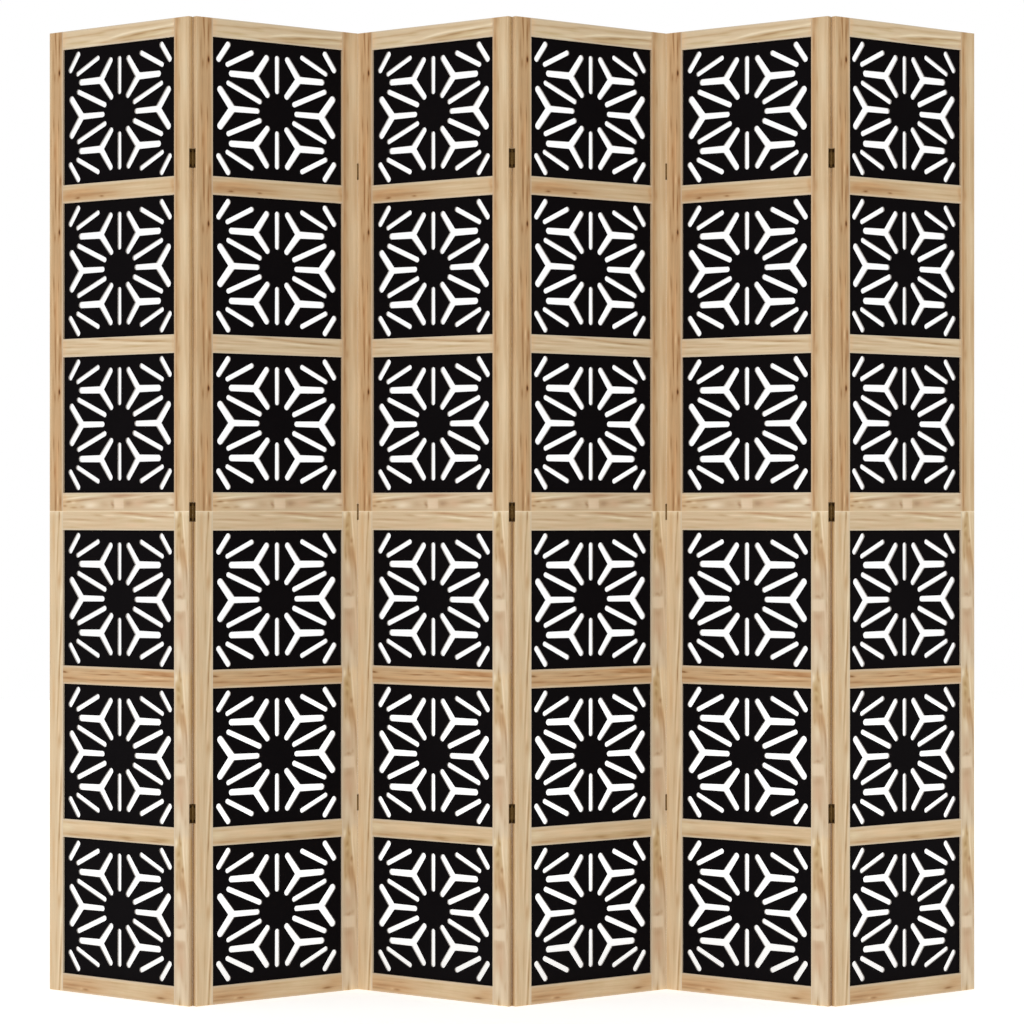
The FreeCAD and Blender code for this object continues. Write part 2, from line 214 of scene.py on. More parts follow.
# Each stick: where it sits on the scale, its warmth, and its streaks.
# A streak: along, across, half length, half width (mm), slope, tone, warmth.
# Stiles: along is down from the top of the half and repeats every 300 mm, across is from the left edge.
# Rails: along is from the left stile, across is down from the top edge.
STICKS = {
    "stile_left_upper": (0.47, 0.25, [
        (150, 1.5, 120, 2.6, 0, 0.09, 0.0), (60, 3.5, 60, 3.0, 0, 0.06, 0.0), (195, 7.5, 60, 1.9, 0.012, 0.07, 0.4),
        (205, 3.6, 26, 1.5, 0, -0.05, 0.1), (56, 9.5, 24, 1.6, 0, -0.06, 0.0), (25, 16.2, 29, 1.6, 0.03, -0.11, 0.2),
        (30, 20.4, 44, 1.6, 0, 0.07, 0.6), (30, 25.5, 28, 1.7, 0, -0.12, 0.4), (76, 25.6, 3.6, 1.8, 0, -0.27, 0.3),
        (76, 25.6, 9, 3.0, 0, -0.10, 0.3), (88, 22.5, 9, 1.6, 0, -0.07, 0.2), (85, 14, 9, 2.4, 0, -0.09, 0.1),
        (95, 32, 22, 2.0, 0, 0.07, 0.5), (172, 11, 17, 2.0, 0.01, -0.10, 0.1), (178, 23.5, 15, 1.3, 0.01, -0.10, 0.2),
        (215, 20.5, 46, 1.6, 0, 0.08, 0.8), (224, 13.8, 15, 2.2, 0, -0.08, 0.6), (280, 15.6, 30, 1.9, 0.01, -0.10, 0.1),
        (277, 21.6, 11, 1.8, 0, 0.15, 0.9), (280, 28.5, 13, 3.0, 0, -0.11, 0.5), (12, 30.5, 16, 3.0, 0, -0.08, 0.2),
        (175, 30, 60, 2.4, 0, -0.04, -0.2), (120, 12, 26, 2.4, 0, -0.03, 0.0), (225, 18, 60, 5, 0, 0.0, 0.6), (240, 9.0, 40, 1.4, 0, 0.03, 0.4), (150, 16.5, 40, 1.3, 0, 0.02, 0.3), (130, 26, 30, 1.4, 0, -0.02, 0.2), (165, 32.0, 130, 1.5, 0, 0.03, -0.2)]),
    "stile_left_lower": (0.64, 0.10, [
        (8, 25, 16, 1.6, -0.02, -0.11, 0.0), (60, 22, 42, 1.5, -0.055, -0.09, -0.1), (55, 17.4, 42, 1.6, -0.02, 0.06, 0.2),
        (105, 24.6, 20, 1.6, -0.02, 0.05, 0.3), (130, 25, 13, 4.0, -0.06, -0.07, 0.2), (160, 30.5, 27, 2.6, -0.06, 0.10, -0.1),
        (205, 18.5, 34, 2.2, -0.02, -0.07, -0.1), (240, 24.6, 50, 1.8, -0.06, 0.09, 0.1), (252, 28.0, 50, 1.7, -0.05, -0.14, -0.2),
        (280, 31, 24, 1.6, -0.04, 0.06, 0.1), (45, 11, 50, 3.0, 0, -0.02, 0.5), (150, 7, 60, 4.0, 0, 0.03, 0.2),
        (95, 20.5, 26, 1.2, -0.03, -0.04, 0.0), (205, 33, 30, 1.6, -0.03, -0.03, 0.2), (240, 4, 50, 2.4, 0, -0.02, 0.3),
        (20, 31, 26, 3.0, 0, 0.03, 0.0)]),
    "stile_right_upper": (0.59, 0.10, [
        (110, 6, 130, 4.2, 0, -0.075, 0.35), (45, 5.8, 19, 1.6, 0, -0.09, 0.2), (235, 6, 60, 2.0, 0, -0.10, 0.1),
        (230, 11, 60, 3.4, 0, -0.07, 0.0), (125, 12.6, 20, 2.4, 0, -0.07, 0.1), (5, 10.5, 13, 5.0, 0, -0.07, 0.1),
        (90, 25, 80, 7.0, 0, 0.08, 0.15), (225, 29.5, 40, 3.0, 0, -0.06, 0.0), (240, 21.5, 50, 2.0, 0, 0.06, 0.2),
        (281, 7, 13, 2.0, 0, -0.07, 0.1), (20, 30.5, 30, 2.4, 0, -0.03, 0.1), (150, 17, 60, 1.6, 0.01, 0.02, 0.0), (120, 2.6, 100, 2.4, 0, -0.02, 0.6), (250, 3.5, 50, 2.6, 0, -0.04, 0.3), (278, 3.0, 5, 2.0, 0, 0.04, 0.4), (60, 10, 30, 2.2, 0.01, -0.03, 0.2)]),
    "stile_right_lower": (0.612, 0.03, [
        (4, 5, 8, 4.0, 0, 0.14, 0.1), (46, 14, 44, 8.0, 0.05, -0.06, -0.45), (30, 23.5, 38, 1.9, 0.085, 0.14, 0.1),
        (100, 32.6, 32, 2.0, 0.08, 0.07, 0.2), (20, 31, 30, 3.0, 0, 0.05, -0.1), (5, 16, 5, 2.6, 0, -0.09, -0.3),
        (26, 11, 5, 3.6, 0, -0.055, -0.2), (33, 12, 3, 4.0, 0, 0.05, -0.2), (44, 11, 6, 4.6, 0, -0.06, -0.2),
        (54, 21.5, 4.4, 3.0, 0, -0.09, 0.0), (62, 20, 4, 3.0, 0, 0.06, 0.2), (70, 6.5, 14, 1.9, 0, -0.07, -0.2),
        (84, 8.5, 7, 2.2, 0, -0.08, 0.0), (82, 24.5, 26, 4.4, 0.11, -0.10, 0.35), (116, 30.6, 28, 2.6, 0.05, -0.13, 0.0),
        (106, 13, 16, 5.6, 0.12, 0.11, 0.2), (135, 14, 14, 8.0, 0, -0.03, 0.8), (155.5, 14.5, 3.2, 6.5, 0, -0.13, 0.4),
        (152, 24, 4, 3.0, 0, -0.08, 0.2), (191, 15, 9, 11, 0, -0.09, 0.5), (75, 15, 18, 6, 0.1, -0.05, 0.4), (100, 20, 22, 3.0, 0.12, -0.05, 0.3), (22, 12, 14, 8, 0, -0.03, -0.3), (8, 26, 24, 3.0, 0.05, 0.05, 0.3), (217, 15, 20, 12, 0, -0.02, 0.9),
        (195, 29.6, 27, 1.8, 0.1, 0.07, 0.4), (172, 32.6, 11, 1.6, 0, -0.10, 0.0), (240, 19, 17, 3.0, 0.1, -0.07, 0.4),
        (262, 10.5, 24, 4.4, 0, 0.12, 0.1), (275, 21.5, 26, 4.0, 0.1, 0.08, 0.1), (293, 13.8, 9, 1.8, 0, -0.13, -0.2),
        (265, 28.5, 8, 2.5, 0, -0.06, 0.0)]),
    "rail_1": (0.672, 0.0, [
        (58, 11.8, 60, 2.2, -0.035, -0.07, 0.0), (125, 7.6, 27, 1.4, 0, -0.06, 0.2), (215, 7.4, 42, 1.8, -0.01, -0.05, -0.1),
        (95, 10.6, 11, 1.5, 0, -0.04, -0.4), (12, 12.2, 10, 2.0, 0, -0.04, -0.1), (90, 24, 26, 3.0, -0.03, 0.06, 0.2),
        (142, 20.4, 30, 2.0, -0.13, 0.12, 0.2), (215, 14.6, 60, 1.9, -0.045, 0.12, 0.2), (275, 11, 12, 2.0, -0.05, 0.08, 0.2),
        (106, 30.2, 17, 1.6, 0, -0.09, 0.5), (165, 30.5, 22, 1.5, 0, -0.07, 0.3), (150, 25.8, 24, 2.0, -0.07, -0.07, 0.0),
        (190, 21.8, 22, 2.3, -0.07, -0.13, -0.3), (2, 16, 6, 30, 0, 0.02, 0.7), (279, 16, 4, 30, 0, 0.0, 0.6), (244, 17.8, 40, 1.6, -0.01, -0.12, -0.3), (240, 25, 42, 1.6, -0.05, 0.08, -0.2),
        (228, 29.6, 30, 1.4, -0.02, -0.05, 0.1), (70, 31.4, 50, 1.6, 0, 0.09, -0.3), (45, 24.5, 36, 3.4, 0, -0.03, -0.6),
        (40, 18.5, 44, 2.0, -0.02, 0.03, 0.1), (200, 26, 60, 5.0, -0.05, -0.04, -0.4), (140, 3.2, 150, 2.0, 0, 0.03, 0.3), (80, 15.5, 26, 2.0, 0, -0.03, -0.3), (30, 14, 26, 1.3, 0, 0.04, 0.2)]),
    "rail_2": (0.555, 0.12, [
        (50, 11, 34, 4.0, 0, -0.01, 0.9), (60, 21.5, 40, 4.0, 0, -0.07, 0.3), (37, 26, 6.0, 1.8, 0, -0.17, 0.0), (45, 21, 62, 14, 0, -0.035, 0.3), (225, 17, 75, 30, 0, 0.02, 0.0), (30, 8, 60, 3.0, 0, 0.05, -0.3), (140, 3, 140, 1.8, 0, 0.07, -0.3), (150, 31.4, 130, 1.6, 0, 0.05, 0.2),
        (98.5, 25.8, 6.0, 1.7, 0, -0.15, 0.0), (115, 20, 36, 2.0, 0, -0.07, 0.1), (128, 25.2, 20, 1.6, 0, -0.06, 0.1),
        (240, 20.6, 34, 1.5, 0.01, -0.06, -0.3), (195, 14, 52, 3.6, 0, 0.05, -0.1), (125, 7.6, 42, 1.6, 0, -0.05, -0.3),
        (60, 15.2, 40, 1.3, 0, 0.05, 0.9), (215, 25, 60, 2.6, 0, 0.04, 0.0), (277, 17, 5, 14, 0, -0.05, 0.6),
        (40, 31.6, 30, 1.5, 0, 0.09, 0.4), (215, 31.6, 60, 1.5, 0, 0.06, 0.3), (12, 20, 14, 7.0, 0, -0.03, 0.5)]),
    "rail_3": (0.655, 0.03, [
        (112, 3.6, 25, 1.8, 0.02, -0.14, -0.5), (160, 6.8, 36, 1.8, 0.03, -0.08, 0.3), (224, 11, 50, 1.7, 0.035, -0.13, -0.4),
        (98, 8, 36, 1.6, 0.055, 0.09, 0.3), (190, 13.4, 54, 1.6, 0.035, 0.10, 0.1), (184, 18.6, 32, 1.7, 0.02, -0.06, -0.4), (2, 16, 6, 30, 0, 0.01, 0.6), (279, 16, 4, 30, 0, -0.02, 0.5),
        (14, 16, 18, 1.4, 0, -0.07, 0.0), (24, 20, 32, 1.5, 0, 0.06, 0.2), (25, 27.5, 32, 1.5, 0, -0.06, -0.3),
        (45, 12, 40, 1.6, 0, -0.04, 0.1), (125, 26, 42, 1.8, 0, 0.04, -0.3), (195, 27.4, 44, 1.4, 0, 0.05, 0.1),
        (20, 7, 24, 2.0, 0.03, -0.04, 0.0), (235, 20.4, 40, 1.3, 0.01, -0.03, 0.0), (248, 5, 34, 2.0, 0.02, 0.05, 0.1),
        (78, 11.5, 22, 1.4, 0.02, -0.03, 0.1), (255, 29, 26, 2.0, 0, -0.03, 0.0), (130, 3.0, 150, 1.3, 0, 0.03, 0.3), (60, 16, 44, 1.3, 0, -0.03, 0.2), (120, 20, 30, 1.6, 0, -0.03, -0.2), (150, 23, 60, 1.2, 0, 0.03, 0.2), (30, 12.5, 30, 1.2, 0.01, 0.04, 0.3)]),
    "rail_4": (0.62, 0.06, [
        (60, 4.2, 62, 2.4, 0, 0.06, -0.5), (38, 9.2, 42, 1.6, -0.07, 0.13, 0.1), (62, 13, 46, 2.1, -0.075, -0.13, -0.1),
        (15, 16.6, 6.5, 1.6, 0, -0.10, 0.0), (27, 18, 6, 2.2, 0, 0.08, 0.3), (7, 24.5, 5.0, 2.3, 0, -0.10, 0.0),
        (28, 27.6, 8, 1.8, 0, -0.09, -0.1), (50, 26.6, 8, 2.6, 0, -0.09, 0.0), (70, 23.2, 17, 5.0, 0, 0.15, 0.3),
        (104, 21.5, 11, 6.0, 0, -0.05, 0.1), (126.5, 22, 4.4, 5.5, 0, -0.13, 0.3), (164, 20, 13, 6.5, 0, -0.12, 0.1),
        (192, 20, 17, 8.0, 0, -0.01, 0.7), (150, 5, 32, 3.0, 0, -0.11, 0.9), (140, 8.2, 14, 1.6, 0, -0.05, 0.2),
        (182, 9, 28, 1.6, -0.08, 0.10, 0.2), (240, 3.6, 30, 1.6, -0.03, 0.06, 0.2), (221, 17.2, 19, 3.4, -0.05, -0.11, -0.2),
        (216, 8, 9, 1.6, 0, -0.06, 0.1), (246, 13, 20, 1.8, -0.02, -0.05, -0.4), (240, 24.4, 30, 3.2, -0.03, 0.13, 0.1),
        (273, 14.5, 8, 5.0, 0, 0.11, 0.1), (275, 23, 9, 1.5, 0, -0.14, 0.0), (2, 12, 6, 30, 0, 0.01, 0.7), (279, 16, 4, 30, 0, -0.02, 0.5), (85, 31.6, 42, 1.4, 0, -0.06, 0.2)]),
    "rail_5": (0.635, 0.05, [
        (45, 15.4, 46, 1.7, 0.03, -0.09, 0.1), (28, 19.4, 36, 1.5, 0.02, 0.08, 0.3), (90, 7.4, 13, 2.0, 0.05, -0.09, -0.1),
        (122, 7.6, 19, 2.0, 0.03, 0.10, 0.4), (175, 4, 42, 2.2, 0.04, -0.12, 0.7), (243, 9.6, 38, 1.7, 0.03, -0.14, 0.1),
        (203, 12, 36, 1.6, 0.06, 0.15, -0.2), (195, 17.4, 32, 2.6, 0.02, -0.06, -0.6), (258, 2.4, 27, 1.2, 0, -0.07, 0.1),
        (274, 6.6, 9, 1.8, 0, 0.08, 0.2), (126, 15, 22, 3.0, 0, -0.04, 0.1), (190, 26, 38, 3.0, 0, 0.03, 0.5),
        (40, 10.6, 40, 1.6, 0.01, 0.03, 0.2), (30, 30, 26, 1.4, 0, -0.04, -0.4), (90, 26, 60, 3.0, 0, -0.02, 0.2),
        (255, 17.5, 30, 2.4, 0.01, 0.04, 0.1)]),
    "rail_6": (0.485, 0.35, [
        (3, 12.0, 6.5, 1.8, 0.08, -0.20, -0.3), (14, 23, 24, 2.0, 0.02, -0.09, 0.2), (72, 25, 36, 1.5, 0.02, -0.07, 0.2),
        (130, 25.2, 42, 1.4, -0.01, -0.10, 0.1), (228, 22.4, 50, 1.6, -0.03, -0.12, 0.2), (108, 14, 19, 1.2, -0.01, -0.16, 0.3),
        (135, 9, 12, 1.0, 0, -0.10, 0.2), (148, 13.7, 12, 1.2, 0, -0.11, 0.2), (52, 7.6, 28, 3.0, 0, -0.02, -0.5),
        (228, 8, 48, 4.0, 0.02, -0.05, 1.0), (215, 11.6, 14, 1.2, 0, -0.10, 0.6), (264, 12.4, 20, 1.8, 0.03, -0.12, 0.4),
        (262, 8, 15, 2.0, 0, -0.06, 0.8), (218, 15.8, 14, 1.4, 0, 0.10, 0.8), (225, 17.4, 36, 1.7, 0, 0.09, 0.8),
        (118, 17.6, 22, 1.2, 0, 0.08, 0.6), (112, 31, 46, 1.7, 0, 0.13, 0.7), (44, 31.3, 23, 1.4, 0, 0.10, -0.6),
        (200, 30, 52, 1.9, 0, 0.05, 0.3), (46, 27.6, 20, 1.4, 0, -0.06, -0.4), (55, 19.5, 40, 1.6, 0, 0.03, 0.4),
        (155, 5.6, 24, 1.4, 0, 0.05, 0.9), (120, 2.6, 150, 1.5, 0, 0.09, -0.5), (215, 30.6, 70, 1.6, 0, 0.06, 0.2), (35, 11, 24, 1.6, 0.02, 0.06, 0.2), (90, 20.5, 40, 1.3, 0.01, 0.07, 0.5), (180, 18.5, 26, 1.2, 0, -0.06, 0.3), (70, 14.5, 26, 1.2, 0.03, -0.05, 0.0), (190, 7.0, 20, 1.2, 0.02, 0.09, 0.9), (160, 21.0, 24, 1.1, 0, 0.06, 0.5), (250, 18.0, 26, 1.4, 0, 0.06, 1.0), (75, 8.6, 14, 1.4, 0, -0.05, 0.3)]),
    "rail_7": (0.59, 0.04, [
        (8, 15, 15, 8.0, 0, 0.05, -0.4), (95, 14.5, 44, 4.0, 0, 0.04, 0.4), (150, 11, 28, 3.6, 0, -0.05, -0.1),
        (180, 17.4, 32, 1.6, 0, 0.05, 0.3), (30, 28, 26, 1.6, 0, -0.08, 0.5), (100, 25, 62, 2.8, 0.02, -0.06, 0.3),
        (160, 26.6, 17, 3.5, 0, -0.08, -0.3), (140, 27, 220, 5, 0, -0.04, -0.3), (150, 2.6, 130, 1.4, 0, 0.05, 0.2), (45, 12, 60, 6, 0, 0.03, 0.1), (110, 12, 90, 8, 0, 0.03, 0.1), (175, 30.4, 17, 1.3, 0, -0.10, 0.0), (235, 28.8, 23, 1.3, 0, -0.12, 0.4),
        (248, 25.2, 17, 2.1, 0, -0.08, -0.4), (235, 22.6, 46, 2.6, 0, -0.05, -0.3), (20, 6.6, 15, 1.2, 0, -0.06, 0.1),
        (230, 15.6, 38, 3.8, 0, 0.03, 0.2), (150, 3.4, 34, 1.6, 0, -0.02, -0.5), (60, 9, 40, 3.0, 0, 0.02, 0.1),
        (232, 8.4, 30, 1.3, 0, -0.03, 0.1)]),
    "rail_8": (0.54, 0.03, [
        (20, 20, 28, 3.0, 0, -0.08, 0.4), (76, 21.4, 30, 3.0, 0, -0.06, 0.5), (59, 26, 8.0, 1.9, 0, -0.13, 0.0), (35, 18, 60, 30, 0, -0.03, 0.2), (175, 14, 66, 30, 0, 0.0, 0.0), (140, 3, 140, 1.8, 0, 0.06, -0.2),
        (249, 25, 10.5, 2.1, 0, -0.14, -0.4), (250, 22.6, 26, 4.5, 0, -0.06, 0.2), (48, 25, 4, 2.0, 0, 0.07, 0.2),
        (66, 11.2, 17, 1.6, 0, -0.06, 0.3), (15, 10.6, 22, 1.8, 0, -0.04, 0.1), (160, 22.6, 60, 5.5, 0, 0.05, -0.1),
        (195, 10.4, 52, 4.6, 0, 0.05, -0.2), (132, 6.2, 26, 1.3, 0, -0.05, -0.2), (192, 20, 25, 1.4, 0, -0.04, 0.0),
        (14, 26.2, 24, 2.0, 0, -0.08, -0.3), (72, 29, 34, 1.6, 0, -0.03, 0.4), (265, 14, 16, 7.0, 0, -0.02, 0.4),
        (45, 14.6, 44, 1.4, 0, 0.03, 0.5)]),
}

# Flat-sided light patches in the crossing figure: along, across, half length, half width, tone, warmth.
PATCHES = {
    "stile_right_lower": [(171, 15, 10.5, 12, 0.22, 0.3)],
    "rail_4": [(143, 21, 12, 8.5, 0.22, 0.5)],
}


def timber(name, seed):
    """The material of one kind of stick: its own figure on the shared timber tones."""
    base, warmth, streaks = STICKS[name]
    t = Tree("timber_" + name)
    across, back, up, panel = t.panel_coords()
    stile = name.startswith("stile")
    if stile:
        lower = name.endswith("lower")
        edge = 0.0 if "left" in name else PANEL_W - STILE_W
        along = (HALF_H if lower else 2 * HALF_H) - up
        width = across - edge
        inner = STILE_W if "left" in name else 0.0
        to_opening = t.op("ABSOLUTE", width - inner)
        to_end = t.op("MINIMUM", t.op("ABSOLUTE", along), t.op("ABSOLUTE", along - HALF_H))
        to_outside = t.op("ABSOLUTE", width - (STILE_W - inner))
    else:
        low, high = RAIL_Z[name]
        along = across - STILE_W
        width = high - up
        top_edge, bottom_edge = t.op("ABSOLUTE", width), t.op("ABSOLUTE", width - (high - low))
        to_opening = {"rail_4": top_edge, "rail_5": bottom_edge}.get(name) or t.op("MINIMUM", top_edge, bottom_edge)
    deep = width + back * 0.42                     # the figure runs slantwise into the thickness
    shift = 13.7 * seed

    # Slow wandering of the grain, so that no streak is ruled.
    wander = t.noise(t.vec(along * (1 / 46.0) + shift, deep * (1 / 15.0), back * (1 / 30.0)), 2.0, 0.5, colour=True)
    a = t.madd(wander[0], 16.0, along)
    b = t.madd(wander[1], 2.4, deep)

    tone = Val(t, t.nt.nodes.new("ShaderNodeValue").outputs[0])
    tone.out.default_value = base
    warm = Val(t, t.nt.nodes.new("ShaderNodeValue").outputs[0])
    warm.out.default_value = warmth
    for (a0, b0, half_len, half_wid, slope, d_tone, d_warm) in streaks:
        da = t.op("SUBTRACT", a, a0)
        if stile:
            da = t.op("WRAP", da, 150.0, -150.0)
        u = t.op("MULTIPLY", da, 1.0 / half_len)
        v = t.madd(da, -slope / half_wid, t.madd(b, 1.0 / half_wid, -b0 / half_wid))
        g = t.op("POWER", 1 / math.e, t.madd(v, v, u * u))
        tone = t.madd(g, FIGURE[name] * d_tone, tone)
        warm = t.madd(g, d_warm, warm)
    for (a0, b0, half_len, half_wid, d_tone, d_warm) in PATCHES.get(name, []):
        da = t.op("SUBTRACT", t.madd(wander[2], 3.0, along), a0)
        if stile:
            da = t.op("WRAP", da, 150.0, -150.0)
        u = t.smooth(t.op("ABSOLUTE", da), half_len - 2.5, half_len + 2.5, 1.0, 0.0)
        v = t.smooth(t.op("ABSOLUTE", b - b0), half_wid - 4.0, half_wid + 4.0, 1.0, 0.0)
        tone = t.madd(u * v, d_tone, tone)
        warm = t.madd(u * v, d_warm, warm)

    # Soft bands, growth lines, fibre and pores, from a few mm down to a few tenths.
    bands = t.noise(t.vec(a * (1 / 95.0) + shift, b * (1 / 3.6), back * (1 / 5.0)), 3.0, 0.55)
    lines = t.noise(t.vec(a * (1 / 60.0) - shift, b * (1 / 1.15), back * (1 / 2.0)), 2.0, 0.5)
    fibre = t.noise(t.vec(along * (1 / 11.0) + shift, b * (1 / 0.34), back * (1 / 0.34)), 3.0, 0.6)
    pores = t.cells(t.vec(along * (1 / 4.2) + shift, b * (1 / 0.62), back * (1 / 0.62)))
    pore = t.smooth(pores, 0.10, 0.24, 1.0, 0.0)
    mottle = t.noise(t.vec(along * (1 / 22.0), b * (1 / 16.0), back * (1 / 16.0) + shift), 1.0, 0.5)
    tone = t.madd(bands, 0.20, tone)
    tone = t.madd(lines, 0.16, tone)
    tone = t.madd(fibre, 0.11, tone)
    tone = t.madd(pore, -0.035, tone)
    tone = t.madd(mottle, 0.05, tone)
    warm = t.madd(bands, 0.5, warm)
    warm = t.madd(mottle, 0.6, warm)

    # Eased edges are painted paler, partly sanded wood and partly a painted highlight on the arris, and the wood beside
    # them is a little greyer.
    ease = t.smooth(t.madd(fibre, 0.4, to_opening), 1.0, 2.8, 1.0, 0.0)
    if stile:
        ends = t.smooth(t.madd(fibre, 0.4, to_end), 0.6, 1.5, 1.0, 0.0)
        ease = t.op("MAXIMUM", ease, ends)
        # A faint painted highlight along the outer arrises.
        outs = t.smooth(t.madd(fibre, 0.5, to_outside), 0.4, 1.4, 1.0, 0.0)
        tone = t.madd(outs, 0.03, tone)
        # The edge face that meets the neighbour panel gets painted shade: a little darker all over, and darker and more
        # olive towards the hinge corner.
        turn = t.madd(t.op("MODULO", panel, 2.0), 2.0, -1.0)
        corner = t.madd(turn * (back - THICK / 2), -1.0 if "left" in name else 1.0, THICK / 2)
        edge_face = t.smooth(to_outside, 0.1, 0.5, 1.0, 0.0)
        hinged = t.smooth(panel, 0.3, 0.7) if "left" in name else t.smooth(panel, 4.3, 4.7, 1.0, 0.0)
        near = t.smooth(t.madd(fibre, 1.0, corner), -0.5, 6.5 if name == "stile_left_upper" else 10.0, 1.0, 0.0)
        fold_shade = edge_face * hinged
        tone = t.madd(fold_shade, t.madd(near, -CORNER_SHADE[name], -0.03), tone)
        warm = t.madd(fold_shade * near, -0.9, warm)
        if name.endswith("lower"):              # the lower half is paler just below the seam
            tone = t.madd(t.smooth(along, 0.0, 11.0, 1.0, 0.0), 0.09, tone)
    tone = t.madd(ease, BROWN_EDGE.get(name, 0.11), tone)
    greyed = t.smooth(t.madd(fibre, 0.6, to_opening), 1.0, 4.6, 0.22 if name in BROWN_EDGE else 0.45, 0.0)
    silver = Val(t, t.nt.nodes.new("ShaderNodeValue").outputs[0])
    silver.out.default_value = SILVER.get(name, 0.0)
    if name in ROSY_FROM:
        place = t.op("WRAP", a, 300.0, 0.0) if stile else a
        silver = silver * t.smooth(place, *ROSY_FROM[name])
        if stile:
            silver = silver * t.smooth(place, 286.0, 300.0, 1.0, 0.0)
    greyed = t.op("MAXIMUM", greyed, silver)
    # Both halves have a painted highlight, a pale line along the arris at the seam between them.
    seam = t.smooth(t.madd(fibre, 0.5, t.op("ABSOLUTE", up - HALF_H)), 0.75, 1.45, 1.0, 0.0)
    tone = t.madd(seam, SEAM_HIGHLIGHT, tone)
    greyed = greyed * (1.0 - seam)

    colour = t.ramp(tone, TIMBER)
    warmer = t.mix(silver * (1.0 / SILVER.get(name, 1.0)), ORANGE, PINK) if name in PINKISH else ORANGE
    colour = t.mix(t.op("MAXIMUM", warm, 0.0), colour, t.mix(1.0, colour, warmer, "MULTIPLY"))
    colour = t.mix(t.op("MULTIPLY", t.op("MINIMUM", warm, 0.0), -1.0), colour, t.mix(1.0, colour, OLIVE, "MULTIPLY"))
    colour = t.mix(greyed, colour, SANDED)
    t.put(t.shader.inputs["Base Color"], colour)

    rough = t.madd(fibre, 0.16, t.madd(bands, 0.10, 0.52))
    t.put(t.shader.inputs["Roughness"], t.madd(pore, 0.10, rough))
    height = t.madd(fibre, 0.6, t.madd(pore, -0.5, lines * 0.5))
    t.put(t.shader.inputs["Normal"], t.bump(height, 0.00016, 0.55))
    t.shader.inputs["Specular IOR Level"].default_value = 0.35
    return t.mat


def end_grain():
    """Sawn and sanded stile ends: rings round a pith outside the stick, with pores."""
    t = Tree("timber_end_grain")
    across, back, up, panel = t.panel_coords()
    x = t.op("WRAP", across, PANEL_W - STILE_W, 0.0)
    w = t.noise(t.vec(x * 0.11, back * 0.11, panel * 3.1), 2.0, 0.5)
    dx = x + 22.0
    dy = back - 31.0
    r = t.op("SQRT", t.madd(dx, dx, dy * dy))
    ring = t.op("SINE", t.madd(w, 5.0, r * (2 * math.pi / 2.6)))
    fine = t.noise(t.vec(x * 2.4, back * 2.4, up * 0.4), 3.0, 0.6)
    pore = t.smooth(t.cells(t.vec(x * 1.7, back * 1.7, panel)), 0.12, 0.30, 1.0, 0.0)
    tone = t.madd(ring, 0.045, t.madd(fine, 0.22, t.madd(w, 0.18, 0.46)))
    tone = t.madd(pore, -0.10, tone)
    colour = t.mix(0.35, t.ramp(tone, TIMBER), ORANGE, "MULTIPLY")
    t.put(t.shader.inputs["Base Color"], colour)
    t.put(t.shader.inputs["Roughness"], t.madd(fine, 0.2, t.madd(pore, 0.12, 0.62)))
    t.put(t.shader.inputs["Normal"], t.bump(t.madd(fine, 0.7, t.madd(pore, -0.8, ring * 0.12)), 0.0002, 0.6))
    t.shader.inputs["Specular IOR Level"].default_value = 0.3
    return t.mat


def dowel_wood():
    """Turned beech pegs in the seam: fine grain up the peg, short dark flecks."""
    t = Tree("dowel_beech")
    x, y, z = t.xyz(t.coords)
    x, y, z = x * 1000.0, y * 1000.0, z * 1000.0
    fine = t.noise(t.vec(x * 2.0, y * 2.0, z * 0.12), 3.0, 0.6)
    fleck = t.smooth(t.cells(t.vec(x * 1.4, y * 1.4, z * 0.5)), 0.10, 0.22, 1.0, 0.0)
    tone = t.madd(fine, 0.22, t.madd(fleck, -0.12, 0.62))
    t.put(t.shader.inputs["Base Color"], t.ramp(tone, TIMBER))
    t.put(t.shader.inputs["Roughness"], t.madd(fine, 0.2, 0.6))
    t.put(t.shader.inputs["Normal"], t.bump(fine, 0.0002, 0.5))
    return t.mat


def black_board():
    """Matte black lacquer on thin board: faint roller stipple and dust-fine speckle."""
    t = Tree("fretwork_lacquer")
    across, back, up, panel = t.panel_coords()
    stipple = t.noise(t.vec(across * 0.9, up * 0.9, back * 0.9), 3.0, 0.6)
    speck = t.noise(t.vec(across * 4.0, up * 4.0, back * 4.0), 2.0, 0.6)
    cloud = t.noise(t.vec(across * 0.02, up * 0.02, panel * 2.3), 2.0, 0.5)
    tone = t.madd(stipple, 0.30, t.madd(speck, 0.40, t.madd(cloud, 0.25, 0.42)))
    colour = t.ramp(tone, [(0.0, (6, 4, 6)), (0.4, (11, 8, 10)), (0.7, (16, 12, 14)), (1.0, (25, 19, 22))])
    t.put(t.shader.inputs["Base Color"], colour)
    t.put(t.shader.inputs["Roughness"], t.madd(stipple, 0.22, 0.62))
    t.put(t.shader.inputs["Normal"], t.bump(t.madd(stipple, 0.8, speck * 0.4), 0.00012, 0.6))
    t.shader.inputs["Specular IOR Level"].default_value = 0.04
    return t.mat


